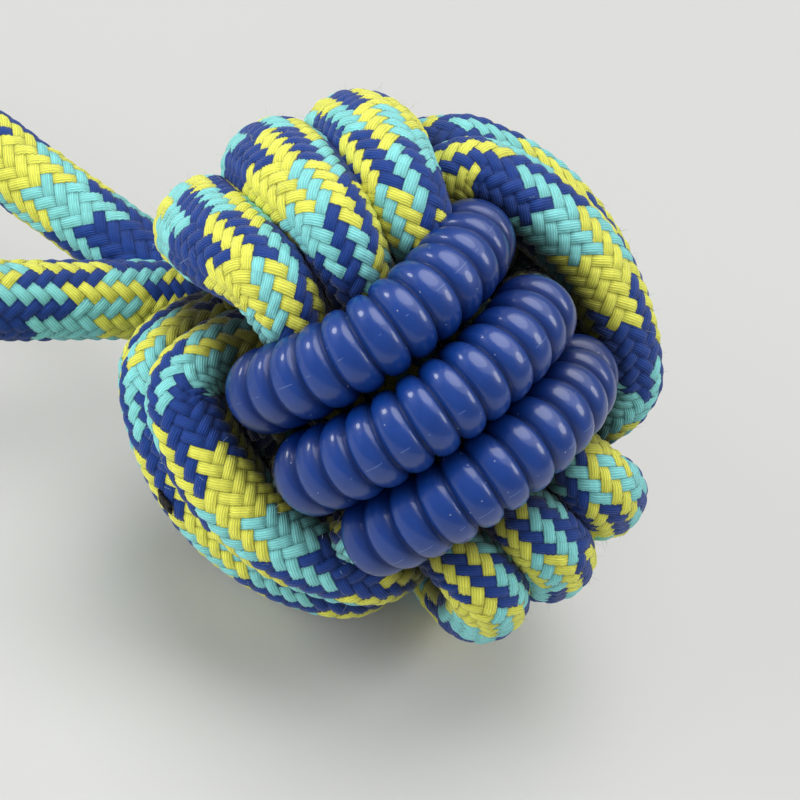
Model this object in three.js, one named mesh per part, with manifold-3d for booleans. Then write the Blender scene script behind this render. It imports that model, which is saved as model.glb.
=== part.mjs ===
// Rope dog toy: one braided rope tied as a monkey's fist round a rubber core ball, three ribbed soft
// sleeves threaded on its front runs, and the slack of the rope left as a loop handle.
// Millimetres, +Z up. The knot stands on three strands round its lowest corner; the handle lies at -X.

import * as THREE from 'three';
import { mergeVertices } from 'three/addons/utils/BufferGeometryUtils.js';
import ManifoldModule from 'manifold-3d';

// Rope
const ROPE_DIAMETER = 10;
const PRESSED_SHARE = 0.78; // of the diameter, left where a strand is squeezed under the next set
const STRAND_AIR = 0.45; // between neighbouring strands
const CORE_SEAT = 0.3; // between the core ball and the strands lying on it
const FOOT_SHARE = 0.1; // of the diameter, pressed flat where the knot stands

// Ribbed sleeves
const SLEEVE_LENGTH = 44;
const SLEEVE_BORE = 7.2;
const SLEEVE_WALL = 0.95;
const RIB_HEIGHT = 0.7;
const RIB_COUNT = 12;
const RIB_PROFILE = [[0, 0], [0.14, 0.75], [0.5, 1], [0.86, 0.75]]; // share of a rib's width, share of its height
const ROPE_IN_SLEEVE_AIR = 0.65;
const SLEEVE_LIFT = 0.9; // the sleeved runs bow out by this much
const SLEEVE_NIP = [6, 9]; // past a sleeve's end: where the rope starts and ends filling out again

// Handle: x from the knot's axis, half the loop's width, rise above lying on the floor
const HANDLE_ROUTE = [
  [-46, 11.2, 13.4],
  [-58, 16, 13.2],
  [-72, 21.5, 11.4],
  [-88, 26.6, 7.6],
  [-104, 30, 3.4],
  [-120, 31.2, 0.7],
  [-136, 29, 0],
  [-150, 22.6, 0],
  [-160, 12.4, 0],
  [-163.5, 0, 0],
];
const HANDLE_MIDDLE = 19.4; // the loop's own middle line lies this far off the knot's axis
const HANDLE_LAID_FOR = 34.27; // knot radius the route above is laid out for
const HANDLE_FLOOR_AIR = 0.2;
const HANDLE_END_AIR = 0.3; // between a rope tail and the handle's domed end

// The knot's own angles, in degrees along a set of turns; the middle of each outer run is a multiple of 180
const AXIS_AZIMUTHS = [38, 158, 278]; // of the three axes the sets wind about
const LAST_RUN = 900;
const DIVE = [35, 60.5]; // from a run's middle: where a strand starts and ends its way inwards
const PRESS = [12, 36]; // where it is squeezed from round to pressed
const GATHER = [10, 55]; // where it draws closer to its neighbours
const SLEEVE_GATHER = [1.5, 18]; // the same beside a sleeve, from the sleeve's end
const STEP_OVER = 126; // length of the step from one turn to the next
const CORNER = 30; // past a set's last run: where the rope turns off into the next set
const CORNER_LEAD = 0.52;
const SLANT_SHARE = 1.04; // strands stepping over lie aslant and need this much more pitch

// Tails from the knot to the handle: where they leave, and the leads of their bends
const UPPER_TAIL = { degrees: 932.5, leads: [7.1, 5.8] };
const LOWER_TAIL = { degrees: -22, leads: [11, 5.5] };
const TAIL_STRAIGHT = 10;

// Fineness of the solids
const RING_STEP = 10;
const GAP_STEP = 3;
const CORNER_RINGS = 8;
const TAIL_RINGS = 8;
const ROPE_SIDES = 8;
const SLEEVE_SIDES = 10;
const BORE_RINGS = 14;
const HANDLE_STEPS = 46;

const wasm = await ManifoldModule();
wasm.setup();

const radians = THREE.MathUtils.degToRad;
const lerp = THREE.MathUtils.lerp;
const wrap = THREE.MathUtils.euclideanModulo;
const UP = new THREE.Vector3(0, 0, 1);

/** Smooth step from 0 at x = 0 to 1 at x = 1. */
function ease(x) {
  return THREE.MathUtils.smoothstep(x, 0, 1);
}

/** Smooth fall from 1 at the first angle of a pair to 0 at the second. */
function fall(angle, [from, to]) {
  return ease((to - angle) / (to - from));
}

/** One of the knot's three axes: all lean equally from the vertical, so the knot rests on its corner. */
function axis(azimuth) {
  const flat = Math.sqrt(2 / 3);
  const angle = radians(azimuth);
  return new THREE.Vector3(flat * Math.cos(angle), flat * Math.sin(angle), Math.sqrt(1 / 3));
}

const [ASIDE, ALONG, AHEAD] = AXIS_AZIMUTHS.map(axis);

/** Sizes that follow from the radius of the innermost strands' centre line. */
function knotSizes(inner) {
  const pressed = ROPE_DIAMETER * PRESSED_SHARE;
  const sleeve = SLEEVE_BORE + 2 * (SLEEVE_WALL + RIB_HEIGHT);
  const sleeved = inner + (sleeve + pressed) / 2 + STRAND_AIR + SLEEVE_LIFT;
  const sleeveEnd = THREE.MathUtils.radToDeg(SLEEVE_LENGTH / 2 / sleeved);
  return {
    inner,
    pressed,
    sleeve,
    sleeved,
    outer: inner + (ROPE_DIAMETER + pressed) / 2 + STRAND_AIR,
    innerPitch: (pressed + STRAND_AIR) * SLANT_SHARE,
    outerPitch: ROPE_DIAMETER + STRAND_AIR,
    sleevedPitch: sleeve + STRAND_AIR,
    sleeveGather: SLEEVE_GATHER.map((angle) => sleeveEnd + angle),
  };
}

/** A point of one set of turns: its place on the centre line and the rope's radius there. */
function windingPoint(set, degrees, knot) {
  const fromRun = Math.abs(wrap(degrees + 90, 180) - 90);
  const fromSleeve = set === 0 ? Math.abs(wrap(degrees, 360) - 180) : 180;
  const loose = degrees < 0 || degrees > LAST_RUN;
  const out = loose ? 1 : fall(fromRun, DIVE);
  const sleeved = fall(fromSleeve, DIVE);
  const spread = fall(fromRun, fromSleeve < 90 ? knot.sleeveGather : GATHER);
  const firstStep = ease((degrees - 270) / STEP_OVER + 0.5);
  const secondStep = ease((degrees - 630) / STEP_OVER + 0.5);
  const rank = 1 - firstStep - secondStep;
  const reach = lerp(knot.inner, lerp(knot.outer, knot.sleeved, sleeved), out);
  const side = rank * lerp(knot.innerPitch, lerp(knot.outerPitch, knot.sleevedPitch, sleeved), spread);
  const swing = Math.sqrt(reach * reach - side * side);
  const at = new THREE.Vector3()
    .addScaledVector(AHEAD, -Math.cos(radians(degrees)) * swing)
    .addScaledVector(ASIDE, Math.sin(radians(degrees)) * swing)
    .addScaledVector(ALONG, side)
    .applyAxisAngle(UP, radians(120 * set));
  const round = loose ? 1 : fall(fromRun, PRESS);
  const radius = lerp(knot.pressed, ROPE_DIAMETER, fromSleeve < 80 ? 0 : round) / 2;
  return { at, radius, set, degrees };
}

/** Direction of the rope at a point of a set. */
function heading(set, degrees, knot) {
  const before = windingPoint(set, degrees - 0.5, knot).at;
  return windingPoint(set, degrees + 0.5, knot).at.sub(before).normalize();
}

/** The rope's turn from the end of one set into the start of the next, kept on the knot's surface. */
function cornerPoints(set, knot) {
  const from = windingPoint(set, LAST_RUN + CORNER, knot).at;
  const to = windingPoint(set + 1, -CORNER, knot).at;
  const lead = CORNER_LEAD * from.distanceTo(to);
  const leave = from.clone().addScaledVector(heading(set, LAST_RUN + CORNER, knot), lead);
  const arrive = to.clone().addScaledVector(heading(set + 1, -CORNER, knot), -lead);
  const bend = new THREE.CubicBezierCurve3(from, leave, arrive, to);
  const points = [];
  for (let i = 1; i < CORNER_RINGS; i++) {
    const share = i / CORNER_RINGS;
    const at = bend.getPoint(share).setLength(lerp(from.length(), to.length(), ease(share)));
    points.push({ at, radius: ROPE_DIAMETER / 2, set: set + 0.5, degrees: 0 });
  }
  return points;
}

/** Running length along the points, stored in each. */
function measure(path) {
  path.forEach((point, i) => {
    point.arc = i ? path[i - 1].arc + point.at.distanceTo(path[i - 1].at) : 0;
  });
}

/** Length along the path at which a sleeved run has its middle. */
function arcOfRun(path, degrees) {
  const next = path.findIndex((point) => point.set === 0 && point.degrees > degrees);
  const before = path[next - 1];
  const after = path[next];
  return lerp(before.arc, after.arc, (degrees - before.degrees) / (after.degrees - before.degrees));
}

/** Centre line of the knot's three sets, the rope thinned where the sleeves hold it. */
function windKnot(knot, step) {
  const path = [];
  for (let set = 0; set < 3; set++) {
    const first = set === 0 ? LOWER_TAIL.degrees : -CORNER;
    const last = set === 2 ? UPPER_TAIL.degrees : LAST_RUN + CORNER;
    const count = Math.round((last - first) / step);
    for (let i = 0; i <= count; i++) {
      path.push(windingPoint(set, lerp(first, last, i / count), knot));
    }
    if (set < 2) {
      path.push(...cornerPoints(set, knot));
    }
  }
  measure(path);
  path.middles = [180, 540, 900].map((degrees) => arcOfRun(path, degrees));
  for (const point of path) {
    point.girth = point.radius;
    for (const middle of path.middles) {
      const beyond = Math.abs(point.arc - middle) - SLEEVE_LENGTH / 2;
      const held = fall(beyond, SLEEVE_NIP);
      point.radius = lerp(point.radius, SLEEVE_BORE / 2 - ROPE_IN_SLEEVE_AIR, held);
      point.girth = beyond < 0.5 ? knot.sleeve / 2 : Math.max(point.girth, point.radius);
    }
  }
  return path;
}

/** Least air between stretches of the rope, its sleeves counted, that are not simply one bend. */
function leastGap(path) {
  let least = Infinity;
  for (let i = 0; i < path.length; i++) {
    for (let j = i + 1; j < path.length; j++) {
      if (path[j].arc - path[i].arc > 2.2 * ROPE_DIAMETER) {
        const air = path[i].at.distanceTo(path[j].at) - path[i].girth - path[j].girth;
        least = Math.min(least, air);
      }
    }
  }
  return least;
}

/** Draws the knot tight: the smallest radius at which the strands still clear each other. */
function drawTight() {
  let tight = 1.2 * ROPE_DIAMETER;
  let clear = 3 * ROPE_DIAMETER;
  for (let i = 0; i < 16; i++) {
    const middle = (tight + clear) / 2;
    if (leastGap(windKnot(knotSizes(middle), GAP_STEP)) < STRAND_AIR - 0.01) {
      tight = middle;
    } else {
      clear = middle;
    }
  }
  return knotSizes(clear);
}

/** The handle's centre line, in the knot's own frame with its centre at the origin. */
function handlePoints(knot, standing) {
  const grow = (knot.outer + ROPE_DIAMETER / 2) / HANDLE_LAID_FOR;
  const lie = ROPE_DIAMETER / 2 + HANDLE_FLOOR_AIR - standing;
  const side = (sign) => ([x, half, rise]) =>
    new THREE.Vector3(x * grow, (HANDLE_MIDDLE + sign * half) * grow, lie + rise * grow);
  const back = HANDLE_ROUTE.slice(0, -1).reverse();
  return [...HANDLE_ROUTE.map(side(1)), ...back.map(side(-1))];
}

/** A tail from a set's end to the handle: a bend, then a straight end square to the handle's dome. */
function tailPoints(from, leave, leads, hinge, next, knot) {
  const grow = (knot.outer + ROPE_DIAMETER / 2) / HANDLE_LAID_FOR;
  const along = next.clone().sub(hinge).setZ(0).normalize();
  const face = hinge.clone().addScaledVector(along, -ROPE_DIAMETER / 2 - HANDLE_END_AIR);
  const bent = face.clone().addScaledVector(along, -TAIL_STRAIGHT * grow);
  const bend = new THREE.CubicBezierCurve3(
    from,
    from.clone().addScaledVector(leave, leads[0] * grow),
    bent.clone().addScaledVector(along, -leads[1] * grow),
    bent,
  );
  const points = [];
  for (let i = 1; i <= TAIL_RINGS; i++) {
    const squeeze = ease((3 * i) / TAIL_RINGS);
    points.push({ at: bend.getPoint(i / TAIL_RINGS), radius: lerp(ROPE_DIAMETER, knot.pressed, squeeze) / 2 });
  }
  for (const share of [0.35, 0.7, 1]) {
    const at = bent.clone().lerp(face, share);
    points.push({ at, radius: lerp(knot.pressed, ROPE_DIAMETER, ease(share / 0.7)) / 2 });
  }
  points.forEach((point) => {
    point.girth = point.radius;
    point.tail = true;
  });
  return points;
}

/** The whole rope of the knot, tail to tail. */
function wholeRope(knot, step, handle) {
  const wound = windKnot(knot, step);
  const start = heading(0, LOWER_TAIL.degrees, knot).negate();
  const end = heading(2, UPPER_TAIL.degrees, knot);
  const last = handle.length - 1;
  const lower = tailPoints(wound[0].at, start, LOWER_TAIL.leads, handle[last], handle[last - 1], knot);
  const upper = tailPoints(wound.at(-1).at, end, UPPER_TAIL.leads, handle[0], handle[1], knot);
  const path = [...lower.reverse(), ...wound, ...upper];
  measure(path);
  return path;
}

/** Direction of a path at one of its points. */
function pathHeading(path, i) {
  const before = path[Math.max(i - 1, 0)].at;
  const after = path[Math.min(i + 1, path.length - 1)].at;
  return after.clone().sub(before).normalize();
}

/** A ring of points round a place on a path. */
function ring(at, along, outward, radius, sides) {
  const across = along.clone().cross(outward);
  return Array.from({ length: sides }, (_, k) => {
    const turn = (2 * Math.PI * k) / sides;
    return at
      .clone()
      .addScaledVector(outward, radius * Math.cos(turn))
      .addScaledVector(across, radius * Math.sin(turn));
  });
}

/** The part of a direction that is square to the path, as a unit vector. */
function square(direction, along) {
  return direction.clone().addScaledVector(along, -direction.dot(along)).normalize();
}

/** Skin over rings: a capped tube, or a loop of rings closed on itself. */
function skin(rings, looped) {
  const sides = rings[0].length;
  const positions = rings.flat().flatMap((point) => point.toArray());
  const index = [];
  const count = looped ? rings.length : rings.length - 1;
  for (let i = 0; i < count; i++) {
    for (let k = 0; k < sides; k++) {
      const here = i * sides;
      const next = ((i + 1) % rings.length) * sides;
      const turn = (k + 1) % sides;
      index.push(here + k, here + turn, next + turn, here + k, next + turn, next + k);
    }
  }
  if (!looped) {
    const top = (rings.length - 1) * sides;
    for (let k = 1; k < sides - 1; k++) {
      index.push(0, k + 1, k, top, top + k, top + k + 1);
    }
  }
  const geometry = new THREE.BufferGeometry();
  geometry.setAttribute('position', new THREE.Float32BufferAttribute(positions, 3));
  geometry.setIndex(index);
  return geometry;
}

/** Rings of the rope: they face outwards on the knot and are carried on without twist along the tails. */
function ropeRings(path) {
  const outward = path.map((point, i) => (point.tail ? null : square(point.at, pathHeading(path, i))));
  const firstWound = path.findIndex((point) => !point.tail);
  const lastWound = path.findLastIndex((point) => !point.tail);
  for (let i = firstWound - 1; i >= 0; i--) {
    outward[i] = square(outward[i + 1], pathHeading(path, i));
  }
  for (let i = lastWound + 1; i < path.length; i++) {
    outward[i] = square(outward[i - 1], pathHeading(path, i));
  }
  return path.map((point, i) => ring(point.at, pathHeading(path, i), outward[i], point.radius, ROPE_SIDES));
}

/** A ribbed sleeve along the rope: ribbed outside, plain bore, open at both ends. */
function ribbedSleeve(path, middle) {
  const start = middle - SLEEVE_LENGTH / 2;
  const place = (share) => {
    const arc = start + SLEEVE_LENGTH * share;
    const next = path.findIndex((point) => point.arc > arc);
    const before = path[next - 1];
    const after = path[next];
    const at = before.at.clone().lerp(after.at, (arc - before.arc) / (after.arc - before.arc));
    const along = pathHeading(path, next - 1).lerp(
      pathHeading(path, next),
      (arc - before.arc) / (after.arc - before.arc),
    );
    along.normalize();
    return { at, along, outward: square(at, along) };
  };
  const ringAt = (share, radius) => {
    const { at, along, outward } = place(share);
    return ring(at, along, outward, radius, SLEEVE_SIDES);
  };
  const valley = SLEEVE_BORE / 2 + SLEEVE_WALL;
  const bore = SLEEVE_BORE / 2 / Math.cos(Math.PI / SLEEVE_SIDES);
  const rings = [];
  for (let rib = 0; rib < RIB_COUNT; rib++) {
    for (const [width, height] of RIB_PROFILE) {
      rings.push(ringAt((rib + width) / RIB_COUNT, valley + height * RIB_HEIGHT));
    }
  }
  rings.push(ringAt(1, valley));
  for (let i = BORE_RINGS; i >= 0; i--) {
    rings.push(ringAt(i / BORE_RINGS, bore));
  }
  return skin(rings, true);
}

/** A three.js geometry as a solid for joining and cutting. */
function solid(geometry) {
  const bare = geometry.clone();
  bare.deleteAttribute('normal');
  bare.deleteAttribute('uv');
  const merged = mergeVertices(bare, 1e-4);
  return new wasm.Manifold(
    new wasm.Mesh({
      numProp: 3,
      vertProperties: new Float32Array(merged.attributes.position.array),
      triVerts: new Uint32Array(merged.index.array),
    }),
  );
}

/** A solid back as a three.js geometry. */
function geometryOf(body) {
  const mesh = body.getMesh();
  const geometry = new THREE.BufferGeometry();
  geometry.setAttribute('position', new THREE.BufferAttribute(new Float32Array(mesh.vertProperties), 3));
  geometry.setIndex(new THREE.BufferAttribute(new Uint32Array(mesh.triVerts), 1));
  return geometry;
}

/** The loop handle: rope along its route, with a dome at each end to turn against the tails. */
function handleGeometry(points) {
  const outline = new THREE.Shape();
  outline.absarc(0, 0, ROPE_DIAMETER / 2, 0, 2 * Math.PI);
  const route = new THREE.CatmullRomCurve3(points);
  const rope = new THREE.ExtrudeGeometry(outline, {
    steps: HANDLE_STEPS,
    curveSegments: 10,
    extrudePath: route,
  });
  const dome = (at) =>
    solid(new THREE.IcosahedronGeometry(0.98 * (ROPE_DIAMETER / 2), 3).translate(at.x, at.y, at.z));
  return geometryOf(solid(rope).add(dome(points[0])).add(dome(points.at(-1))));
}

const knot = drawTight();
const standing = (() => {
  const rings = ropeRings(windKnot(knot, RING_STEP)).flat();
  return -Math.min(...rings.map((point) => point.z)) - FOOT_SHARE * ROPE_DIAMETER;
})();
const handleRoute = handlePoints(knot, standing);
const measured = wholeRope(knot, GAP_STEP, handleRoute);
const rope = wholeRope(knot, RING_STEP, handleRoute);

const floor = new THREE.BoxGeometry(300, 300, 40).translate(0, 0, -standing - 20);
const knotGeometry = geometryOf(solid(skin(ropeRings(rope), false)).subtract(solid(floor)));
const coreRadius = knot.inner - knot.pressed / 2 - CORE_SEAT;
const fine = windKnot(knot, 3);
const [upperSleeve, middleSleeve, lowerSleeve] = fine.middles.map((middle) => ribbedSleeve(fine, middle));

const ropeMaterial = new THREE.MeshStandardMaterial({ color: 0x9dbf9a, roughness: 0.85 });
const sleeveMaterial = new THREE.MeshStandardMaterial({ color: 0x2c56a3, roughness: 0.3 });
const coreMaterial = new THREE.MeshStandardMaterial({ color: 0x3a3a3c, roughness: 0.7 });

const pieces = [
  ['core_ball', new THREE.IcosahedronGeometry(coreRadius, 4), coreMaterial],
  ['knot_rope', knotGeometry, ropeMaterial],
  ['sleeve_upper', upperSleeve, sleeveMaterial],
  ['sleeve_middle', middleSleeve, sleeveMaterial],
  ['sleeve_lower', lowerSleeve, sleeveMaterial],
  ['handle_loop', handleGeometry(handleRoute), ropeMaterial],
];

const box = new THREE.Box3();
for (const [, geometry] of pieces) {
  geometry.computeBoundingBox();
  box.union(geometry.boundingBox);
}
const shift = new THREE.Vector3(-(box.min.x + box.max.x) / 2, -(box.min.y + box.max.y) / 2, -box.min.z);

const group = new THREE.Group();
group.name = 'rope_dog_toy';
for (const [name, geometry, material] of pieces) {
  geometry.translate(shift.x, shift.y, shift.z);
  geometry.computeVertexNormals();
  const mesh = new THREE.Mesh(geometry, material);
  mesh.name = name;
  group.add(mesh);
}

const foot = windingPoint(0, 685, knot).at.add(shift);
const hinge = handleRoute[0].clone().add(shift);
console.log(`least gap between strands ${leastGap(measured).toFixed(2)} mm`);
console.log(`inner strand radius ${knot.inner.toFixed(3)} mm, rope in the knot ${rope.at(-1).arc.toFixed(0)} mm`);
console.log(`knot centre ${shift.toArray().map((v) => v.toFixed(2))}`);
console.log(`handle hinge ${hinge.toArray().map((v) => v.toFixed(2))}`);
console.log(`foot near ${foot.toArray().map((v) => v.toFixed(2))}`);

export default group;
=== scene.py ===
"""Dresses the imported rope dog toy: a monkey's fist of braided rope, ribbed sleeves and a loop handle."""

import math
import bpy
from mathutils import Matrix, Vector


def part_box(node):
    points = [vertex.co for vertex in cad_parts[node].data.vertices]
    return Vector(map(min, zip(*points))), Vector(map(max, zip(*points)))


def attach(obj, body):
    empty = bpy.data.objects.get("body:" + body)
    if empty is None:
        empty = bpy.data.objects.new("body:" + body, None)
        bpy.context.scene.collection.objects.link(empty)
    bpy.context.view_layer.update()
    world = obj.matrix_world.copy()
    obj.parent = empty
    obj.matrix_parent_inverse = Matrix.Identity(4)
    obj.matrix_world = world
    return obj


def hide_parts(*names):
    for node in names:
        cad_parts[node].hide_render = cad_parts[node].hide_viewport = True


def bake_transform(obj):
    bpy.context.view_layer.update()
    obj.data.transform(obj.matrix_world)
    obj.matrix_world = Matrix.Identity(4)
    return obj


bl_info = {
    "name": "Rope Dog Toy",
    "version": (1, 0, 0),
    "blender": (4, 5, 0),
    "location": "View3D > Sidebar > Rope Toy",
    "description": "Braided monkey's fist with ribbed sleeves and a loop handle",
    "category": "Object",
}

import bmesh
import bpy
import numpy as np
from bpy.props import FloatProperty, FloatVectorProperty, IntProperty, PointerProperty
from bpy.types import Operator, Panel, PropertyGroup
from mathutils import Matrix, Vector

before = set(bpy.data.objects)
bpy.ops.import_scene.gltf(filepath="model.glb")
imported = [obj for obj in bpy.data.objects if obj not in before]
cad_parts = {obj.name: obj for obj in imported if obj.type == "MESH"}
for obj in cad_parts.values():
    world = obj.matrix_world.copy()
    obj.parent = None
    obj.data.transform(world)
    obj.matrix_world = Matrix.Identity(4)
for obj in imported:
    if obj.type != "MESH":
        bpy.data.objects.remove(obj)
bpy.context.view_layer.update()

MM = 0.001
QUARTER, HALF, FULL = 90, 180, 360
KNOT_CENTRE = np.array(sum(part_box("core_ball"), Vector()) / 2)

# Angles of the knot, in degrees along a set of turns; each outer run has its middle at a multiple of 180
AXIS_AZIMUTHS = (38, 158, 278)
SET_TURN = 120
DIVE = (35, 60.5)
SLEEVE_DIVE = (38, 62)
GATHER = (10, 55)
SLEEVE_GATHER = (1.5, 18)
STEP_OVER = 126
RUN_REACH = 60
FAR_RUNS = (180, 540, 900)
SET_CUTS = (-62, 270, 630, 962)
POINTS_PER_DEGREE = 2
SETS = 3
SLEEVED_SET = 0

# Each set as pulled by hand, in mm and degrees; pairs are for the near and the far side of the set
RUN_RADIUS = ((29.9, 29.9), (27.7, 28.4), (30.3, 30.3))
RUN_PITCH = ((10.45, 10.45), (10.3, 10.3), (10.0, 11.0))
RUN_SHIFT = ((0.9, 2.2), (3.0, 0.9), (2.6, 2.2))
RUN_SLANT = ((0, 0), (-4, 0), (0, 0))
RUN_SKEW = ((0, 0), (2.6, 0), (0, 0))
MIDDLE_SHIFT = ((0, 0), (0, 0), (0, 0.5))
RUN_LEAN = (0, -3, 0)
SLEEVE_BOW = 11.3
SLEEVE_SLIDES = (-0.4, 0.3, -2.7)
LET_GO = (3 * MM, 11 * MM)  # past a sleeve's end, the rope swells over this stretch

# Shares of the rope's own size
RUN_WIDTH = (1.05, 1.16, 1.1)
HEIGHT_UNDER = 0.84
HEIGHT_GAIN = 0.12
SLANT_SHARE = 1.04
HELD_SHARE = 0.43
SKIN_SHARE = 0.9

# Turn of the braid about each set's line and its phase along it, in carriers, at the three far runs
BRAID_TURN = ((0, 0, 0), (-2.9, -2.9, -2.9), (4.5, 2.5, 2.0))
BRAID_PHASE = ((0, 0, 0), (9.8, 9.8, 9.8), (1.5, 1.5, 8.5))
BRAID_WANDER = 0.3
WANDER_LENGTH = 19 * MM
HANDLE_TURN = (1.2, 3.5)
HANDLE_PHASE = 5

# Relief of the braid: its mean level, how full the floats are, how unlike, and numbers that scatter them
RELIEF_LEVEL = 0.72
CROWN_POWER = 3
LIFT_POWER = 4
FLOAT_LEAST = 0.84
FLOAT_VARIES = 0.3
SCATTER = (12.99, 78.23, 4375.85)

# Melted rope end: place from the knot's centre and half sizes along, across and out, in mm
MELTED_END = (-23.6, -18.9, -12.4)
MELTED_SIZE = (1.5, 1.1, 0.5)

# Handle, as in the CAD: x from the knot's axis, half the loop's width, rise above lying on the floor, in mm
HANDLE_ROUTE = (
    (-46, 11.2, 13.4),
    (-58, 16, 13.2),
    (-72, 21.5, 11.4),
    (-88, 26.6, 7.6),
    (-104, 30, 3.4),
    (-120, 31.2, 0.7),
    (-136, 29, 0),
    (-150, 22.6, 0),
    (-160, 12.4, 0),
    (-163.5, 0, 0),
)
HANDLE_MIDDLE = 19.4
UPPER_SIDE_MORE = (0, 2.4, 3.1, 2.2, 0.8, 0, 0, 0, 0, 0)
HANDLE_LAID_FOR = 34.27 * MM
HANDLE_FLOOR_AIR = 0.2 * MM
HANDLE_SPAN_POINTS = 24
HANDLE_RING = 1.6  # times the ring step of the knot
UPPER_TAIL_FROM = (-8, 13, -15)
LOWER_TAIL_FROM = (-8, 12, -2)
TAIL_LEAD = 12
TAIL_STRAIGHT = 15
TAIL_POINTS = 40
STRAIGHT_POINTS = 12

# Yarn: filaments in a float, stretch and offset of the fibre noise, and what each part adds to the shade,
# which are the ground, filaments, fibres, the float's own tone, its edges and its ends; the darkening at its
# edges and ends is painted shade
FILAMENTS = 5
FILAMENT_WAVER = 3
EDGE_SHADE_POWER = 6
FIBRE_STRETCH = (11, 0.6)
FIBRE_OFFSET = (3.7, 7)
YARN_SHADE = (0.60, 0.30, 0.30, 0.12, -0.45, -0.3)
# painted shade: the rope darkens towards the knot's centre, to 0.07 of its colour at the first distance and
# not at all at the second
ROPE_DEPTH_SHADE = (26.5 * MM, 31.5 * MM, 0.07, 1.0)

# Sleeve: share of a rib that is round, its roundness, the parting line round it, and tints, of which the
# deep tint is painted shade towards the knot; the grooves between ribs are darkened as painted shade
RIB_SHARE = 0.93
RIB_POWER = 2.2
GROOVE_POWER = 5
PARTING_LINE = 0.972
PARTING_HALF = 0.002
PARTING_TINT = (0.25, 0.36, 0.62)
DEEP_SHADE_TINT = (0.001, 0.014, 0.11)
LINT_TINT = (0.5, 0.55, 0.62)
LINT_SIZE = 0.055
# painted shade: the sleeve is mixed fully to the deep tint at the first distance from the knot's centre and
# not at all at the second
SLEEVE_DEPTH_SHADE = (28.0 * MM, 34.8 * MM, 1.0, 0.0)

# Stage: the picture's size in pixels, the room, and the floor's share of plain pale tone by distance
PICTURE = 800
SENSOR = 36
SEEING_RAYS = ("Camera", "Glossy", "Transmission")
GLOSSY_SHARE = 0.05
ROOM_COLOUR = (0.72, 0.72, 0.70)
ROOM_LIGHT = 0.333
FLOOR_SIZE = 3.0
SHADE_AHEAD = 30 * MM  # the darkest floor lies this far before the knot
FLOOR_LIFT = (27 * MM, 50 * MM, 0.0, 0.62)
FLOOR_FADE = (300 * MM, 800 * MM, 0.0, 0.38)

# Lamps: place and size in m, power in W, whether they show as glints and whether they light
LAMPS = (
    ("overhead_softbox", (0.0, 0.20, 0.85), 0.8, 4.35, True, True),
    ("left_softbox", (-0.80, -0.20, 0.38), 0.7, 5.9, False, True),
    ("right_softbox", (0.75, 0.0, 0.58), 0.4, 2.5, True, True),
    ("front_softbox", (-0.20, -0.80, 0.55), 0.6, 1.8, False, True),
    ("left_window", (-0.62, 0.17, 0.46), 0.25, 1.8, True, False),
    ("haze_panel", (0.22, 0.20, 0.78), 1.2, 5.5, True, False),
)

UV_NAME = "yarn"
WELD = 1e-7
MIX_COLOUR_INPUTS = (0, 6, 7)
MIX_COLOUR_OUTPUT = 2


class RopeSettings(PropertyGroup):
    """Size and yarn of the braided rope."""

    diameter: FloatProperty(name="Diameter", description="Rope diameter", default=10 * MM, unit="LENGTH")
    pressed: FloatProperty(name="Pressed share", description="Of the diameter, under a strand", default=0.78)
    air: FloatProperty(
        name="Strand air", description="Between strands in the CAD", default=0.45 * MM, unit="LENGTH"
    )
    inner: FloatProperty(
        name="Inner radius", description="Innermost strands' centre line", default=20.513 * MM, unit="LENGTH"
    )
    carriers: IntProperty(name="Carriers", description="Yarns of each hand in the braid", default=14)
    lead: FloatProperty(
        name="Lead", description="Length of one yarn's full turn", default=31 * MM, unit="LENGTH"
    )
    yarn: FloatProperty(
        name="Yarn relief", description="How far floats stand proud", default=0.5 * MM, unit="LENGTH"
    )
    sides: IntProperty(name="Sides", description="Mesh points round the rope", default=126)
    ring_step: FloatProperty(
        name="Ring step", description="Between mesh rings", default=0.3 * MM, unit="LENGTH"
    )
    lime: FloatVectorProperty(
        name="Lime", description="First yarn", subtype="COLOR", default=(0.83, 0.84, 0.115)
    )
    turquoise: FloatVectorProperty(
        name="Turquoise", description="Second yarn", subtype="COLOR", default=(0.25, 0.73, 0.73)
    )
    navy: FloatVectorProperty(
        name="Navy", description="Third yarn", subtype="COLOR", default=(0.012, 0.052, 0.27)
    )


class SleeveSettings(PropertyGroup):
    """Size and colour of the ribbed sleeves."""

    length: FloatProperty(name="Length", description="Along the rope", default=39.8 * MM, unit="LENGTH")
    bore: FloatProperty(name="Bore", description="Inside diameter", default=7.2 * MM, unit="LENGTH")
    wall: FloatProperty(name="Wall", description="Between ribs", default=0.45 * MM, unit="LENGTH")
    rib_height: FloatProperty(
        name="Rib height", description="Above the wall", default=1.1 * MM, unit="LENGTH"
    )
    rib_count: IntProperty(name="Ribs", description="Rings on each sleeve", default=12)
    lift: FloatProperty(name="Lift", description="Bow of the sleeved runs", default=0.5 * MM, unit="LENGTH")
    pitch: FloatProperty(name="Pitch", description="Between sleeves", default=10.35 * MM, unit="LENGTH")
    blue: FloatVectorProperty(
        name="Blue", description="Plastic", subtype="COLOR", default=(0.003, 0.040, 0.24)
    )


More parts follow.
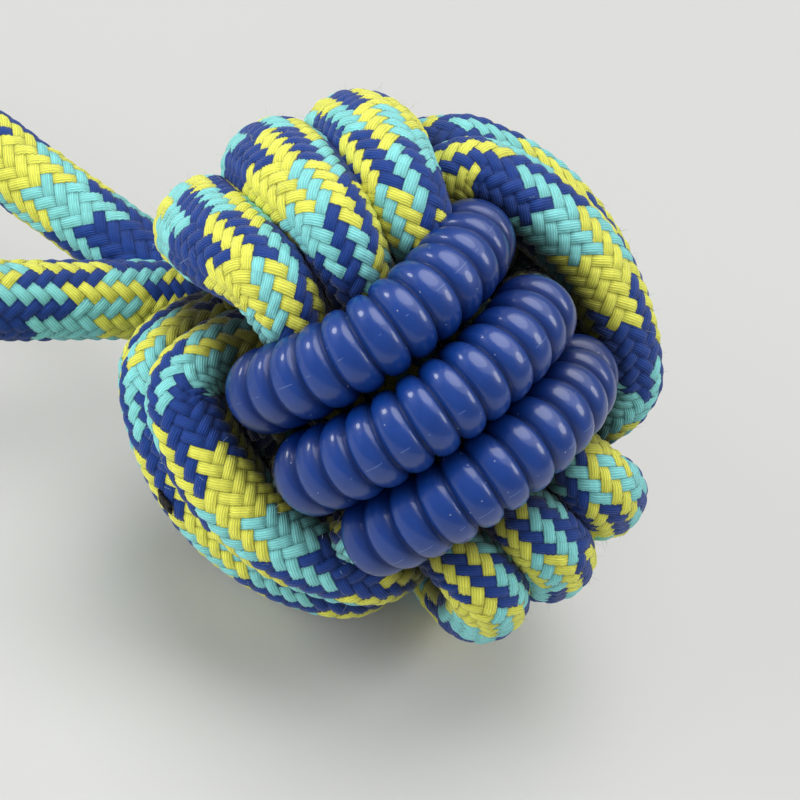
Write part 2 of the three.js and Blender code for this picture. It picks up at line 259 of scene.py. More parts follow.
class StageSettings(PropertyGroup):
    """Camera and floor."""

    azimuth: FloatProperty(name="Azimuth", description="Camera azimuth in degrees", default=-12.0)
    elevation: FloatProperty(name="Elevation", description="Camera elevation in degrees", default=42.0)
    roll: FloatProperty(name="Roll", description="Camera roll in degrees", default=22.7)
    distance: FloatProperty(name="Distance", description="Camera to knot", default=380 * MM, unit="LENGTH")
    focal_pixels: FloatProperty(name="Focal length", description="In pixels of the picture", default=3088.0)
    knot_x: FloatProperty(name="Knot X", description="Pixel of the knot's centre", default=392.3)
    knot_y: FloatProperty(name="Knot Y", description="Pixel of the knot's centre", default=373.5)
    floor: FloatVectorProperty(
        name="Floor", description="Floor colour", subtype="COLOR", default=(0.64, 0.64, 0.63)
    )


def ease(x):
    """Smooth step from 0 at x = 0 to 1 at x = 1."""
    x = np.clip(x, 0.0, 1.0)
    return x * x * (3.0 - 2.0 * x)


def fall(angle, span):
    """Smooth fall from 1 at the span's start to 0 at its end."""
    return ease((span[1] - angle) / (span[1] - span[0]))


def unit(vectors):
    """Vectors at length 1."""
    return vectors / np.linalg.norm(vectors, axis=-1, keepdims=True)


def square(directions, along):
    """The part of each direction square to the line, at length 1."""
    return unit(directions - (directions * along).sum(-1, keepdims=True) * along)


def axis(azimuth):
    """One of the knot's three axes, all leaning equally from the vertical."""
    flat = math.sqrt(2 / 3)
    angle = math.radians(azimuth)
    return np.array((flat * math.cos(angle), flat * math.sin(angle), math.sqrt(1 / 3)))


ASIDE, ALONG, AHEAD = (axis(azimuth) for azimuth in AXIS_AZIMUTHS)


def turned(points, degrees):
    """Points turned about the vertical."""
    turn = np.array(Matrix.Rotation(math.radians(degrees), 3, "Z"))
    return points @ turn.T


def bezier(points, share):
    """Points of a cubic bend at the given shares of it."""
    s = share[:, None]
    a, b, c, d = points
    return (1 - s) ** 3 * a + 3 * s * (1 - s) ** 2 * b + 3 * s * s * (1 - s) * c + s**3 * d


def arc_length(points):
    """Running length along points."""
    return np.concatenate(([0.0], np.cumsum(np.linalg.norm(np.diff(points, axis=0), axis=1))))


def at_arc(at, arc, points):
    """Points of a line at the given lengths along it."""
    return np.column_stack([np.interp(at, arc, column) for column in points.T])


def spline(points, per_span):
    """A smooth line through hand-set points."""
    ends = np.concatenate(([2 * points[0] - points[1]], points, [2 * points[-1] - points[-2]]))
    s = np.linspace(0, 1, per_span, endpoint=False)[:, None]
    line = []
    for a, b, c, d in zip(ends, ends[1:], ends[2:], ends[3:]):
        squared = 2 * a - 5 * b + 4 * c - d
        cubed = 3 * b - a - 3 * c + d
        line.append(0.5 * (2 * b + (c - a) * s + squared * s**2 + cubed * s**3))
    return np.concatenate(line + [points[-1:]])


class Knot:
    """Centre line of the rope in the monkey's fist, about the knot's centre."""

    def __init__(self, rope, sleeve):
        self.rope = rope
        self.sleeve = sleeve
        pressed = rope.diameter * rope.pressed
        sleeve_outer = sleeve.bore + 2 * (sleeve.wall + sleeve.rib_height)
        self.sleeved = rope.inner + (sleeve_outer + pressed) / 2 + rope.air + sleeve.lift
        self.inner_pitch = (pressed + rope.air) * SLANT_SHARE
        end = math.degrees(sleeve.length / 2 / self.sleeved)
        self.sleeve_gather = [end + angle for angle in SLEEVE_GATHER]
        outer = rope.inner + (rope.diameter + pressed) / 2 + rope.air
        self.grow = (outer + rope.diameter / 2) / HANDLE_LAID_FOR

    def winding(self, which, degrees):
        """Centre line, half width and half height of a set of turns at the given angles."""
        from_run = np.abs((degrees - RUN_LEAN[which] + QUARTER) % HALF - QUARTER)
        from_far = np.abs(degrees % FULL - HALF)
        far_side = from_far < QUARTER
        from_sleeve = from_far if which == SLEEVED_SET else np.full_like(degrees, HALF)
        under_sleeve = from_sleeve < QUARTER
        out = np.where(under_sleeve, fall(from_run, SLEEVE_DIVE), fall(from_run, DIVE))
        spread = np.where(under_sleeve, fall(from_run, self.sleeve_gather), fall(from_run, GATHER))
        first_step, second_step = (ease((degrees - cut) / STEP_OVER + 0.5) for cut in SET_CUTS[1:-1])
        rank = 1 - first_step - second_step
        bow = SLEEVE_BOW * MM
        tilt = np.radians(from_sleeve)
        bowed = bow * np.cos(tilt) + np.sqrt((self.sleeved - bow) ** 2 - (bow * np.sin(tilt)) ** 2)
        past_run = ((degrees + QUARTER) % HALF - QUARTER) / RUN_REACH

        def side_of(values):
            return np.where(far_side, values[which][1], values[which][0]) * MM

        inner = self.rope.inner
        run = np.where(under_sleeve, bowed, side_of(RUN_RADIUS) + side_of(RUN_SKEW) * past_run)
        run_pitch = np.where(under_sleeve, self.sleeve.pitch, side_of(RUN_PITCH))
        reach = inner + (run - inner) * out
        pitch = self.inner_pitch + (run_pitch - self.inner_pitch) * spread
        middle = 1 - np.abs(rank)
        shift = side_of(RUN_SHIFT) + side_of(RUN_SLANT) * past_run + side_of(MIDDLE_SHIFT) * middle
        aside = rank * pitch + shift * out
        swing = np.sqrt(reach**2 - aside**2)[:, None]
        turn = np.radians(degrees)[:, None]
        points = swing * (np.sin(turn) * ASIDE - np.cos(turn) * AHEAD) + aside[:, None] * ALONG
        half_width = pitch / 2 * (1 + (RUN_WIDTH[which] - 1) * spread)
        half_height = self.rope.diameter / 2 * (HEIGHT_UNDER + HEIGHT_GAIN * out)
        return turned(points, SET_TURN * which), half_width, half_height

    def line(self, which):
        """One set, thinned in the sleeves: angles, points, half sizes, lengths of middle and skin."""
        first, last = SET_CUTS[0], SET_CUTS[-1]
        degrees = np.linspace(first, last, POINTS_PER_DEGREE * (last - first) + 1)
        points, width, height = self.winding(which, degrees)
        arc = arc_length(points)
        if which == SLEEVED_SET:
            slim = HELD_SHARE * self.sleeve.bore
            for run, slide in zip(FAR_RUNS, SLEEVE_SLIDES):
                beyond = np.abs(arc - np.interp(run, degrees, arc) - slide * MM) - self.sleeve.length / 2
                held = fall(beyond, LET_GO)
                width = width + (slim - width) * held
                height = height + (slim - height) * held
        outward = square(points, unit(np.gradient(points, axis=0)))
        skin = arc_length(points + SKIN_SHARE * height[:, None] * outward)
        return degrees, points, width, height, arc, skin

    def handle(self):
        """Centre line of the handle with its two tails, from inside the knot round and back."""
        lie = self.rope.diameter / 2 + HANDLE_FLOOR_AIR - KNOT_CENTRE[2]
        half = np.array(HANDLE_ROUTE) * MM * self.grow
        middle = HANDLE_MIDDLE * MM * self.grow
        wider = half[:, 1] + np.array(UPPER_SIDE_MORE) * MM
        there = np.column_stack((half[:, 0], middle + wider, lie + half[:, 2]))
        back = np.column_stack((half[:, 0], middle - half[:, 1], lie + half[:, 2]))[-2::-1]
        loop = np.concatenate((there, back))
        upper = self.tail(UPPER_TAIL_FROM, loop[0], loop[1])
        lower = self.tail(LOWER_TAIL_FROM, loop[-1], loop[-2])
        return np.concatenate((upper, spline(loop, HANDLE_SPAN_POINTS), lower[::-1]))

    def tail(self, start, hinge, following):
        """A tail from inside the knot to the handle's hinge line."""
        start = np.array(start) * MM
        along = unit((following - hinge) * (1, 1, 0))
        bent = hinge - along * TAIL_STRAIGHT * MM
        lead = TAIL_LEAD * MM
        guides = (start, start + lead * unit(bent - start), bent - along * lead, bent)
        bend = bezier(guides, np.linspace(0, 1, TAIL_POINTS))
        straight = bent + (hinge - bent) * np.linspace(0, 1, STRAIGHT_POINTS)[1:-1, None]
        return np.concatenate((bend, straight))


def even(step, arc, *values):
    """Lengths at even steps along a line, and values resampled there."""
    count = max(2, math.ceil((arc[-1] - arc[0]) / step) + 1)
    at = np.linspace(arc[0], arc[-1], count)
    out = [at]
    for value in values:
        out.append(np.interp(at, arc, value) if value.ndim == 1 else at_arc(at, arc, value))
    return out


def carried(points, first):
    """Directions square to a line, carried along it without twist."""
    along = unit(np.gradient(points, axis=0))
    out = np.empty_like(points)
    direction = first
    for i, heading in enumerate(along):
        direction = square(direction, heading)
        out[i] = direction
    return out


def braid_cell(u, v, floor):
    """Place in a two-over-two braid; u counts carriers round the rope and v along it.

    Gives the left and right carriers there, whether the left or right one lies on top, and the place across
    and along the float. It works on arrays and on shader values alike.
    """
    p = u - v
    q = u + v
    i = floor(p + 0.5)
    j = floor(q + 0.5)
    k = (i + j) % 4
    left = k < 1.5
    right = 1 - left
    across = left * (p - i) + right * (q - j)
    along = left * (q - j - 0.5 + (k > 0.5)) + right * (p - i - 0.5 + (k > 2.5))
    return i, j, left, right, across, along


def braid_relief(u, v, carriers):
    """Height of the braid's floats, about 0 to 1."""
    i, j, _, _, across, along = braid_cell(u, v, np.floor)
    crown = np.sqrt(np.clip(1 - np.abs(2 * across) ** CROWN_POWER, 0, 1))
    lift = np.clip(1 - np.abs(along) ** LIFT_POWER, 0, 1)
    uneven = (np.sin(SCATTER[0] * (i % carriers) + SCATTER[1] * (j % carriers)) * SCATTER[2]) % 1
    return crown * lift * (FLOAT_LEAST + FLOAT_VARIES * uneven)


def grid_object(name, columns, rows, place, closed_rows):
    """A mesh bent from a flat grid: place takes column and row numbers and gives points and UVs."""
    bm = bmesh.new()
    bm.loops.layers.uv.new(UV_NAME)
    bmesh.ops.create_grid(bm, x_segments=columns, y_segments=rows, size=1.0, calc_uvs=True)
    mesh = bpy.data.meshes.new(name)
    bm.to_mesh(mesh)
    flat = np.empty(len(mesh.vertices) * 3, np.float32)
    mesh.vertices.foreach_get("co", flat)
    flat = flat.reshape(-1, 3)
    column = np.rint((flat[:, 0] + 1) / 2 * columns).astype(int)
    row = np.rint((flat[:, 1] + 1) / 2 * rows).astype(int)
    points, uv = place(column, row)
    mesh.vertices.foreach_set("co", np.ascontiguousarray(points, np.float32).ravel())
    corners = np.empty(len(mesh.loops), np.int32)
    mesh.loops.foreach_get("vertex_index", corners)
    mesh.uv_layers[UV_NAME].data.foreach_set("uv", np.ascontiguousarray(uv[corners], np.float32).ravel())
    bm.clear()
    bm.from_mesh(mesh)
    seam = [vert for vert in bm.verts if vert.is_boundary]
    bmesh.ops.remove_doubles(bm, verts=seam, dist=WELD)
    if not closed_rows:
        bmesh.ops.holes_fill(bm, edges=[edge for edge in bm.edges if edge.is_boundary], sides=0)
    for face in bm.faces:
        face.smooth = True
    bm.to_mesh(mesh)
    bm.free()
    piece = bpy.data.objects.new(name, mesh)
    bpy.context.scene.collection.objects.link(piece)
    return piece


def solid_object(name, bm, material):
    """The object that a bmesh holds, with its material."""
    mesh = bpy.data.meshes.new(name)
    bm.to_mesh(mesh)
    bm.free()
    mesh.materials.append(material)
    piece = bpy.data.objects.new(name, mesh)
    bpy.context.scene.collection.objects.link(piece)
    return piece


def rope_object(name, rope, points, outward, half_width, half_height, length, turn, phase):
    """A length of braided rope along a line, its floats raised from the skin."""
    along = unit(np.gradient(points, axis=0))
    outward = square(outward, along)
    across = np.cross(along, outward)
    sides = rope.sides

    def place(column, row):
        angle = 2 * math.pi * column / sides
        wander = BRAID_WANDER * np.sin(length[row] / WANDER_LENGTH)
        u = rope.carriers * column / sides + turn[row] + wander
        v = rope.carriers * length[row] / rope.lead + phase[row]
        relief = rope.yarn * (braid_relief(u, v, rope.carriers) - RELIEF_LEVEL)
        out = np.cos(angle) * (half_height[row] + relief)
        wide = np.sin(angle) * (half_width[row] + relief)
        at = KNOT_CENTRE + points[row] + out[:, None] * outward[row] + wide[:, None] * across[row]
        at[:, 2] = np.maximum(at[:, 2], 0.0)
        return at, np.column_stack((u, v))

    return grid_object(name, sides, len(points) - 1, place, closed_rows=False)


class Shade:
    """A shader value that takes part in Python arithmetic by adding Math nodes."""

    def __init__(self, finish, socket):
        self.finish = finish
        self.socket = socket

    def maths(self, operation, *values):
        return self.finish.node("ShaderNodeMath", {"operation": operation}, *values)

    def __add__(self, other):
        return self.maths("ADD", self, other)

    __radd__ = __add__

    def __sub__(self, other):
        return self.maths("SUBTRACT", self, other)

    def __rsub__(self, other):
        return self.maths("SUBTRACT", other, self)

    def __mul__(self, other):
        return self.maths("MULTIPLY", self, other)

    __rmul__ = __mul__

    def __mod__(self, other):
        return self.maths("FLOORED_MODULO", self, other)

    def __pow__(self, other):
        return self.maths("POWER", self, other)

    def __lt__(self, other):
        return self.maths("LESS_THAN", self, other)

    def __gt__(self, other):
        return self.maths("GREATER_THAN", self, other)

    def most(self, other):
        return self.maths("MAXIMUM", self, other)

    def floor(self):
        return self.maths("FLOOR", self)

    def absolute(self):
        return self.maths("ABSOLUTE", self)

    def sine(self):
        return self.maths("SINE", self)


class Nodes:
    """A node tree whose nodes are added one expression at a time."""

    def __init__(self, tree):
        self.tree = tree

    def put(self, socket, value):
        """Links or sets one input."""
        if isinstance(value, Shade):
            self.tree.links.new(value.socket, socket)
        else:
            socket.default_value = value

    def node(self, kind, settings=None, *values, output=0, **named):
        """Adds a node with its settings and inputs, and gives one output."""
        node = self.tree.nodes.new(kind)
        for key, value in (settings or {}).items():
            setattr(node, key, value)
        for socket, value in zip(node.inputs, values):
            self.put(socket, value)
        for key, value in named.items():
            self.put(node.inputs[key.replace("_", " ")], value)
        return Shade(self, node.outputs[output])

    def mix(self, share, first, second, blend="MIX"):
        """A colour blended from two colours."""
        mixed = self.node(
            "ShaderNodeMix", {"data_type": "RGBA", "blend_type": blend}, output=MIX_COLOUR_OUTPUT
        )
        for index, value in zip(MIX_COLOUR_INPUTS, (share, first, second)):
            self.put(mixed.socket.node.inputs[index], value)
        return mixed

    def place(self):
        """The point on the object."""
        return self.node("ShaderNodeTexCoord", output="Object")

    def yarn_uv(self):
        """The two numbers of the piece's UV map."""
        uv = self.node("ShaderNodeUVMap", {"uv_map": UV_NAME})
        first = self.node("ShaderNodeSeparateXYZ", None, uv)
        return first, Shade(self, first.socket.node.outputs["Y"])

    def noise(self, place, scale, detail):
        """Soft noise over the object, 0 to 1."""
        return self.node("ShaderNodeTexNoise", None, Vector=place, Scale=scale, Detail=detail)

    def distance(self, place, point):
        """How far each point of the object is from a given one."""
        return self.node("ShaderNodeVectorMath", {"operation": "DISTANCE"}, place, point, output="Value")

    def ramp(self, value, span):
        """Smooth change over a span, which holds its start and end and the results there."""
        return self.node("ShaderNodeMapRange", {"interpolation_type": "SMOOTHSTEP"}, value, *span)

    def bump(self, height, strength, distance):
        """Normals of a fine relief."""
        return self.node("ShaderNodeBump", None, Strength=strength, Distance=distance, Height=height)

    def seen(self):
        """1 where the camera or glass looks, little where a reflection does, 0 where light is gathered."""
        rays = (self.node("ShaderNodeLightPath", output=f"Is {ray} Ray") for ray in SEEING_RAYS)
        camera, glossy, clear = rays
        return camera.most(glossy * GLOSSY_SHARE).most(clear)


class Finish(Nodes):
    """A material with one surface shader."""

    def __init__(self, name):
        self.material = bpy.data.materials.new(name)
        self.material.use_nodes = True
        super().__init__(self.material.node_tree)
        self.tree.nodes.clear()
        self.surface = self.tree.nodes.new("ShaderNodeBsdfPrincipled")
        self.output = self.tree.nodes.new("ShaderNodeOutputMaterial")
        self.tree.links.new(self.surface.outputs[0], self.output.inputs["Surface"])

    def shader(self, **inputs):
        """Sets the surface's own inputs."""
        for key, value in inputs.items():
            self.put(self.surface.inputs[key.replace("_", " ")], value)


def opaque(colour, share=1.0):
    """A colour with full alpha, made darker or paler by a share."""
    return (*(c * share for c in colour), 1.0)


def rope_finish(rope):
    """Braided yarn: each float takes its carrier's colour, with fine filaments along it, painted shade at
    its edges and ends, and painted shade towards the knot's centre.
    """
    f = Finish("braided_yarn")
    u, v = f.yarn_uv()
    i, j, left, right, across, along = braid_cell(u, v, Shade.floor)
    carrier = (left * i - right * j) % rope.carriers
    third = rope.carriers / 3
    colour = f.mix(carrier > third - 0.5, opaque(rope.lime), opaque(rope.turquoise))
    colour = f.mix(carrier > 2 * third - 0.5, colour, opaque(rope.navy))
    cell = f.node("ShaderNodeCombineXYZ", None, i, j, 0.0)
    tone = f.node("ShaderNodeTexWhiteNoise", {"noise_dimensions": "3D"}, cell)
    over = across * FIBRE_STRETCH[0] + carrier * FIBRE_OFFSET[0]
    down = along * FIBRE_STRETCH[1] + tone * FIBRE_OFFSET[1]
    spot = f.node("ShaderNodeCombineXYZ", None, over, down, 0.0)
    fibre = f.node("ShaderNodeTexNoise", {"noise_dimensions": "2D"}, Vector=spot, Scale=1.0, Detail=2.0)
    filament = 0.5 + 0.5 * (across * FILAMENTS * 2 * math.pi + fibre * FILAMENT_WAVER).sine()
    # painted shade: darker at the float's edges and ends, where it goes under its neighbours
    edge = (2 * across.absolute()) ** EDGE_SHADE_POWER
    end = along.absolute() ** EDGE_SHADE_POWER
    shade, *shares = YARN_SHADE
    for share, part in zip(shares, (filament, fibre, tone, edge, end)):
        shade = shade + share * part
    # painted shade: darker the nearer the rope lies to the knot's centre
    shade = shade * f.ramp(f.distance(f.place(), tuple(KNOT_CENTRE)), ROPE_DEPTH_SHADE)
    grey = f.node("ShaderNodeCombineColor", None, shade, shade, shade)
    bump = f.bump(0.6 * filament + 0.4 * fibre, strength=0.6, distance=0.18 * MM)
    f.shader(Base_Color=f.mix(1.0, colour, grey, "MULTIPLY"), Roughness=0.68, Normal=bump)
    f.shader(Specular_IOR_Level=0.25, Sheen_Weight=0.2, Sheen_Roughness=0.4)
    return f.material


def sleeve_finish(sleeve):
    """Glossy moulded plastic, scuffed, with a fine parting line along it, painted shade in the grooves and
    painted shade towards the knot.
    """
    f = Finish("glossy_sleeve_plastic")
    round_share, along_share = f.yarn_uv()
    across_rib = 2 * ((along_share * sleeve.rib_count) % 1 - 0.5).absolute()
    groove = across_rib ** GROOVE_POWER
    place = f.place()
    smear = f.noise(place, scale=350.0, detail=3.0)
    grain = f.noise(place, scale=2600.0, detail=2.0)
    on_line = (round_share - PARTING_LINE).absolute() < PARTING_HALF
    parting = on_line * (smear > 0.5) * (across_rib < 0.55)
    # painted shade: the sleeve darkens towards the knot's centre
    deep_shade = f.ramp(f.distance(place, tuple(KNOT_CENTRE)), SLEEVE_DEPTH_SHADE)
    lint = f.node("ShaderNodeTexVoronoi", None, Vector=place, Scale=520.0) < LINT_SIZE
    colour = f.mix(smear, opaque(sleeve.blue, 0.8), opaque(sleeve.blue, 1.2))
    colour = f.mix(parting * 0.25, colour, opaque(PARTING_TINT))
    # painted shade: the grooves between the ribs are darkened
    colour = f.mix(groove * 0.75, colour, opaque(sleeve.blue, 0.25))
    colour = f.mix(deep_shade, colour, opaque(DEEP_SHADE_TINT))
    colour = f.mix(lint * 0.4, colour, opaque(LINT_TINT))
    bump = f.bump(grain + 2 * parting, strength=0.2, distance=0.1 * MM)
    f.shader(Base_Color=colour, Roughness=0.3 + 0.14 * smear + 0.3 * groove, Normal=bump)
    f.shader(Coat_Weight=0.5 - 0.5 * groove, Coat_Roughness=0.06, Specular_IOR_Level=0.4)
    return f.material


def grainy_finish(name, scale, dark, pale, smooth, rough, strength):
    """A dark, grainy material between two colours and two roughnesses."""
    f = Finish(name)
    grain = f.noise(f.place(), scale, detail=3.0)
    bump = f.bump(grain, strength, distance=0.2 * MM)
    roughness = smooth + (rough - smooth) * grain
    f.shader(Base_Color=f.mix(grain, opaque(dark), opaque(pale)), Roughness=roughness, Normal=bump)
    return f.material


def melted_finish():
    """Burnt, melted yarn."""
    dark = (0.002, 0.002, 0.002)
    pale = (0.016, 0.009, 0.007)
    return grainy_finish("melted_yarn", 1500.0, dark, pale, smooth=0.35, rough=0.65, strength=0.5)


def core_finish():
    """Dark rubber."""
    dark = (0.010, 0.011, 0.014)
    pale = (0.022, 0.023, 0.028)
    return grainy_finish("dark_core_rubber", 900.0, dark, pale, smooth=0.6, rough=0.8, strength=0.3)


def fibre_finish():
    """Pale loose fibre."""
    f = Finish("loose_fibre")
    f.shader(Base_Color=opaque((0.42, 0.52, 0.46)), Roughness=0.7)
    return f.material


def floor_finish(stage):
    """Plain pale studio surface, whose shadows fade away from the knot."""
    f = Finish("pale_studio_floor")
    place = f.place()
    mottle = f.noise(place, scale=6.0, detail=2.0)
    colour = f.mix(mottle, opaque(stage.floor, 0.985), opaque(stage.floor, 1.015))
    f.shader(Base_Color=colour, Roughness=0.9)
    reach = f.distance(place, (KNOT_CENTRE[0], KNOT_CENTRE[1] - SHADE_AHEAD, 0.0))
    share = (f.ramp(reach, FLOOR_LIFT) + f.ramp(reach, FLOOR_FADE)) * f.seen()
    pale = f.node("ShaderNodeEmission", None, opaque(ROOM_COLOUR))
    shaded = Shade(f, f.surface.outputs[0])
    f.put(f.output.inputs["Surface"], f.node("ShaderNodeMixShader", None, share, shaded, pale))
    return f.material


class ROPETOY_OT_stage(Operator):
    """Sets the camera, the soft light and the pale floor."""

    bl_idname = "ropetoy.stage"
    bl_label = "Camera, light and floor"

    def execute(self, context):
        stage = context.scene.ropetoy_stage
        self.camera(context, stage)
        for lamp in LAMPS:
            self.lamp(context, *lamp)
        self.room(context)
        self.floor(stage)
        context.scene.view_settings.view_transform = "Standard"
        return {"FINISHED"}

    def camera(self, context, stage):
        """Places the camera so that the knot's centre falls on its pixel of the photo."""
        angles = (stage.azimuth, stage.elevation, stage.roll)
        azimuth, elevation, roll = (math.radians(angle) for angle in angles)
        level = math.cos(elevation)
        back = Vector((level * math.sin(azimuth), -level * math.cos(azimuth), math.sin(elevation)))
        right = Vector((math.cos(azimuth), math.sin(azimuth), 0))
        up = back.cross(right)
        turned_right = math.cos(roll) * right + math.sin(roll) * up
        turned_up = math.cos(roll) * up - math.sin(roll) * right
        off_right = (stage.knot_x - PICTURE / 2) / stage.focal_pixels * stage.distance
        off_up = (PICTURE / 2 - stage.knot_y) / stage.focal_pixels * stage.distance
        place = Vector(KNOT_CENTRE) + back * stage.distance
        place = place - turned_right * off_right - turned_up * off_up
        data = bpy.data.cameras.new("photo_camera")
        data.sensor_width = SENSOR
        data.sensor_fit = "HORIZONTAL"
        data.lens = stage.focal_pixels / PICTURE * SENSOR
        data.clip_start = 10 * MM
        camera = bpy.data.objects.new("photo_camera", data)
        axes = Matrix((turned_right, turned_up, back)).transposed().to_4x4()
        camera.matrix_world = Matrix.Translation(place) @ axes
        context.scene.collection.objects.link(camera)
        context.scene.camera = camera

    def lamp(self, context, name, place, size, watts, glints, lights):
        """Adds one round soft lamp that faces the knot."""
        data = bpy.data.lights.new(name, "AREA")
        data.shape = "DISK"
        data.size = size
        data.energy = watts
        lamp = bpy.data.objects.new(name, data)
        lamp.visible_glossy = glints
        lamp.visible_diffuse = lights
        aim = Vector(KNOT_CENTRE) - Vector(place)
        facing = aim.to_track_quat("-Z", "Y").to_matrix().to_4x4()
        lamp.matrix_world = Matrix.Translation(place) @ facing
        context.scene.collection.objects.link(lamp)

    def room(self, context):
        """Sets the pale room, which looks brighter than it lights."""
        world = bpy.data.worlds.new("soft_room")
        world.use_nodes = True
        room = Nodes(world.node_tree)
        background = world.node_tree.nodes["Background"]
        room.put(background.inputs["Color"], opaque(ROOM_COLOUR))
        room.put(background.inputs["Strength"], ROOM_LIGHT + (1 - ROOM_LIGHT) * room.seen())
        context.scene.world = world

    def floor(self, stage):
        """Lays the floor."""
        bm = bmesh.new()
        bmesh.ops.create_grid(bm, x_segments=1, y_segments=1, size=FLOOR_SIZE)
        solid_object("floor", bm, floor_finish(stage))


def knot_of(context):
    """The knot's centre line from the scene's settings."""
    return Knot(context.scene.ropetoy_rope, context.scene.ropetoy_sleeve)


def yarn_of(context):
    """The rope's finish, made once."""
    return bpy.data.materials.get("braided_yarn") or rope_finish(context.scene.ropetoy_rope)


class ROPETOY_OT_handle(Operator):
    """Makes the loop handle: one rope from inside the knot, round the loop and back."""

    bl_idname = "ropetoy.handle"
    bl_label = "Loop handle"

    def execute(self, context):
        rope = context.scene.ropetoy_rope
        line = knot_of(context).handle()
        at, line = even(HANDLE_RING * rope.ring_step, arc_length(line), line)
        radius = np.full(len(line), rope.diameter / 2)
        out = carried(line, np.array((0.0, 0.0, 1.0)))
        turn = np.linspace(*HANDLE_TURN, len(line))
        phase = np.full(len(line), HANDLE_PHASE)
        handle = rope_object("handle_rope", rope, line, out, radius, radius, at, turn, phase)
        handle.data.materials.append(yarn_of(context))
        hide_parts("handle_loop")
        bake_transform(handle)
        return {"FINISHED"}


class ROPETOY_OT_knot(Operator):
    """Makes the tied rope, in lengths that meet where the knot hides them."""

    bl_idname = "ropetoy.knot"
    bl_label = "Knot rope"

    def execute(self, context):
        rope = context.scene.ropetoy_rope
        knot = knot_of(context)
        number = 0
        for which in range(SETS):
            degrees, points, widths, heights, arc, skin = knot.line(which)
            turns = np.interp(degrees, FAR_RUNS, BRAID_TURN[which])
            phases = np.interp(degrees, FAR_RUNS, BRAID_PHASE[which])
            whole = (points, points, widths, heights, skin, turns, phases)
            for first, last in zip(SET_CUTS, SET_CUTS[1:]):
                number += 1
                inside = (degrees >= first) & (degrees <= last)
                _, *values = even(rope.ring_step, arc[inside], *(value[inside] for value in whole))
                piece = rope_object(f"knot_rope_{number}", rope, *values)
                piece.data.materials.append(yarn_of(context))
                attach(piece, "knot_ball")
                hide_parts("knot_rope")
        return {"FINISHED"}


class ROPETOY_OT_rope_end(Operator):
    """Makes the melted end of the rope, tucked between two strands."""

    bl_idname = "ropetoy.rope_end"
    bl_label = "Melted rope end"

    def execute(self, context):
        at = np.array(MELTED_END) * MM
        out = unit(at)
        along = square(-ALONG, out)
        across = np.cross(along, out)
        bm = bmesh.new()
        bmesh.ops.create_icosphere(bm, subdivisions=4, radius=1.0)
        for vert in bm.verts:
            x, y, z = vert.co
            long, wide, high = (size * self.lumps(x, y, z) * MM for size in MELTED_SIZE)
            vert.co = Vector(KNOT_CENTRE + at + long * x * along + wide * y * across + high * z * out)
        for face in bm.faces:
            face.smooth = True
        bmesh.ops.recalc_face_normals(bm, faces=bm.faces)
        piece = solid_object("rope_end", bm, melted_finish())
        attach(piece, "knot_ball")
        return {"FINISHED"}

    def lumps(self, x, y, z):
        """Uneven swelling of the end, about 1."""
        broad = math.sin(5 * x + 3 * z) * math.sin(4 * y + 1)
        fine = math.sin(11 * y - 7 * x)
        return 1 + 0.16 * broad + 0.08 * fine


class ROPETOY_OT_fuzz(Operator):
    """Makes loose fibres that stand off the tied rope."""

    bl_idname = "ropetoy.fuzz"
    bl_label = "Loose fibres"

    count = 700
    seed = 11
    run_half = 40  # degrees either side of a run's middle
    round_half = 1.5  # radians either side of the rope's top
    stray = 0.6
    lengths = (0.5 * MM, 1.7 * MM)
    root = 0.022 * MM
    tip = 0.01 * MM
    floor_gap = 2 * MM

    def execute(self, context):
        knot = knot_of(context)
        chance = np.random.default_rng(self.seed)
        bm = bmesh.new()
        for which in range(SETS):
            degrees, points, widths, heights, _, _ = knot.line(which)
            along = unit(np.gradient(points, axis=0))
            outward = square(points, along)
            across = np.cross(along, outward)
            bare = np.abs((degrees + QUARTER) % HALF - QUARTER) < self.run_half
            if which == SLEEVED_SET:
                bare &= np.abs(degrees % FULL - HALF) > QUARTER
            for row in chance.choice(np.flatnonzero(bare), self.count // SETS):
                angle = chance.uniform(-self.round_half, self.round_half)
                out = math.cos(angle) * outward[row]
                wide = math.sin(angle) * across[row]
                way = unit(out + wide + chance.normal(0, self.stray, 3))
                size = chance.uniform(*self.lengths)
                foot = KNOT_CENTRE + points[row] + heights[row] * out + widths[row] * wide
                self.fibre(bm, foot, way, size)
        piece = solid_object("loose_fibres", bm, fibre_finish())
        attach(piece, "knot_ball")
        return {"FINISHED"}

    def fibre(self, bm, foot, way, size):
        """Adds one fibre, unless it would come near the floor."""
        middle = foot + 0.5 * size * way
        if middle[2] < self.floor_gap:
            return
        stand = Matrix.Translation(middle) @ Vector(way).to_track_quat("Z", "Y").to_matrix().to_4x4()
        bmesh.ops.create_cone(
            bm, cap_ends=True, segments=3, radius1=self.root, radius2=self.tip, depth=size, matrix=stand
        )


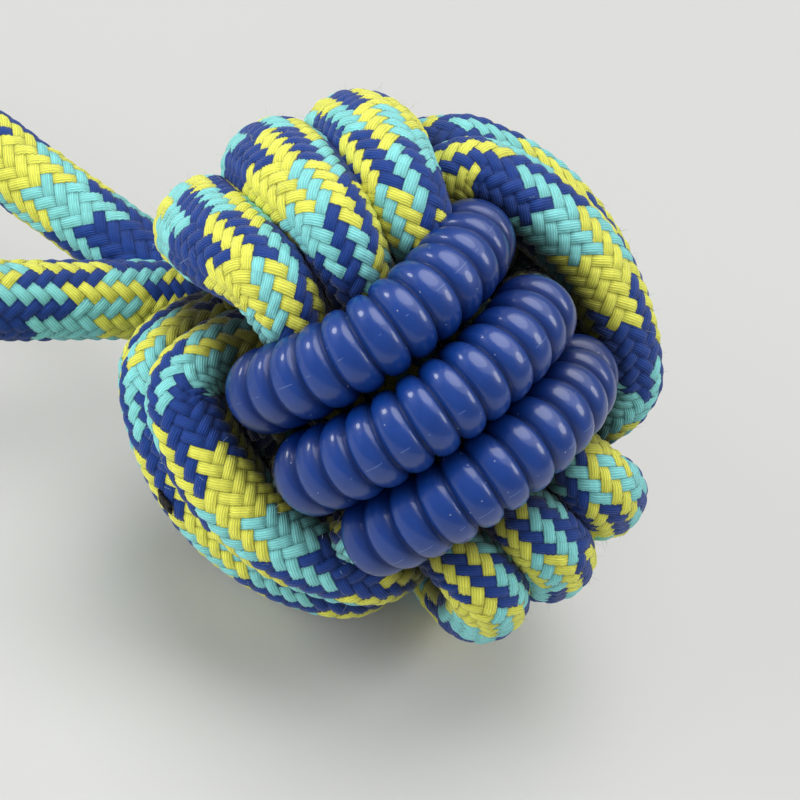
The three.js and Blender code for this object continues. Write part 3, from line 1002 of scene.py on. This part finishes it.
class ROPETOY_OT_sleeves(Operator):
    """Makes the three ribbed sleeves on the front runs."""

    bl_idname = "ropetoy.sleeves"
    bl_label = "Ribbed sleeves"

    around = 56
    per_rib = 16
    bore_rows = 40
    look_along = 0.5 * MM

    def execute(self, context):
        sleeve = context.scene.ropetoy_sleeve
        degrees, points, _, _, arc, _ = knot_of(context).line(SLEEVED_SET)
        finish = sleeve_finish(sleeve)
        names = ("sleeve_upper", "sleeve_middle", "sleeve_lower")
        for name, run, slide in zip(names, FAR_RUNS, SLEEVE_SLIDES):
            middle = np.interp(run, degrees, arc) + slide * MM
            piece = self.sleeve(name + "_ribbed", sleeve, points, arc, middle)
            piece.data.materials.append(finish)
            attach(piece, "knot_ball")
            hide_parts(name)
        return {"FINISHED"}

    def sleeve(self, name, sleeve, points, arc, middle):
        """One sleeve: ribs along its outside, then back through its bore."""
        outside = np.linspace(0, 1, self.per_rib * sleeve.rib_count + 1)
        across_rib = 2 * (outside * sleeve.rib_count % 1) - 1
        lobe = np.sqrt(np.clip(1 - np.abs(across_rib / RIB_SHARE) ** RIB_POWER, 0, 1))
        ribbed = sleeve.bore / 2 + sleeve.wall + sleeve.rib_height * lobe
        bore = np.full(self.bore_rows + 1, sleeve.bore / 2)
        radius = np.concatenate((ribbed, bore, ribbed[:1]))
        share = np.concatenate((outside, np.linspace(1, 0, self.bore_rows + 1), outside[:1]))
        at = middle + (share - 0.5) * sleeve.length
        centre = at_arc(at, arc, points)
        along = unit(at_arc(at + self.look_along, arc, points) - at_arc(at - self.look_along, arc, points))
        outward = square(centre, along)
        across = np.cross(along, outward)

        def place(column, row):
            angle = 2 * math.pi * column / self.around
            out = (radius[row] * np.cos(angle))[:, None] * outward[row]
            wide = (radius[row] * np.sin(angle))[:, None] * across[row]
            uv = np.column_stack((column / self.around, share[row]))
            return KNOT_CENTRE + centre[row] + out + wide, uv

        return grid_object(name, self.around, len(share) - 1, place, closed_rows=True)


class ROPETOY_OT_core(Operator):
    """Gives the core ball its rubber finish."""

    bl_idname = "ropetoy.core"
    bl_label = "Core ball"

    def execute(self, context):
        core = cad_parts["core_ball"]
        core.data.materials.clear()
        core.data.materials.append(core_finish())
        return {"FINISHED"}


class ROPETOY_PT_panel(Panel):
    """Lists the toy's settings and the operators that build it."""

    bl_label = "Rope Toy"
    bl_space_type = "VIEW_3D"
    bl_region_type = "UI"
    bl_category = "Rope Toy"

    def draw(self, context):
        scene = context.scene
        for settings in (scene.ropetoy_rope, scene.ropetoy_sleeve, scene.ropetoy_stage):
            column = self.layout.column(align=True)
            for name in settings.__annotations__:
                column.prop(settings, name)
        for operator in OPERATORS:
            self.layout.operator(operator.bl_idname)


OPERATORS = (
    ROPETOY_OT_stage,
    ROPETOY_OT_handle,
    ROPETOY_OT_knot,
    ROPETOY_OT_rope_end,
    ROPETOY_OT_fuzz,
    ROPETOY_OT_sleeves,
    ROPETOY_OT_core,
)
CLASSES = (RopeSettings, SleeveSettings, StageSettings, *OPERATORS, ROPETOY_PT_panel)


def register():
    for cls in CLASSES:
        bpy.utils.register_class(cls)
    bpy.types.Scene.ropetoy_rope = PointerProperty(type=RopeSettings)
    bpy.types.Scene.ropetoy_sleeve = PointerProperty(type=SleeveSettings)
    bpy.types.Scene.ropetoy_stage = PointerProperty(type=StageSettings)


def unregister():
    del bpy.types.Scene.ropetoy_stage
    del bpy.types.Scene.ropetoy_sleeve
    del bpy.types.Scene.ropetoy_rope
    for cls in reversed(CLASSES):
        bpy.utils.unregister_class(cls)


def main():
    register()
    bpy.ops.ropetoy.stage()
    bpy.ops.ropetoy.handle()
    bpy.ops.ropetoy.knot()
    bpy.ops.ropetoy.rope_end()
    bpy.ops.ropetoy.fuzz()
    bpy.ops.ropetoy.sleeves()
    bpy.ops.ropetoy.core()


if __name__ == "__main__":
    main()
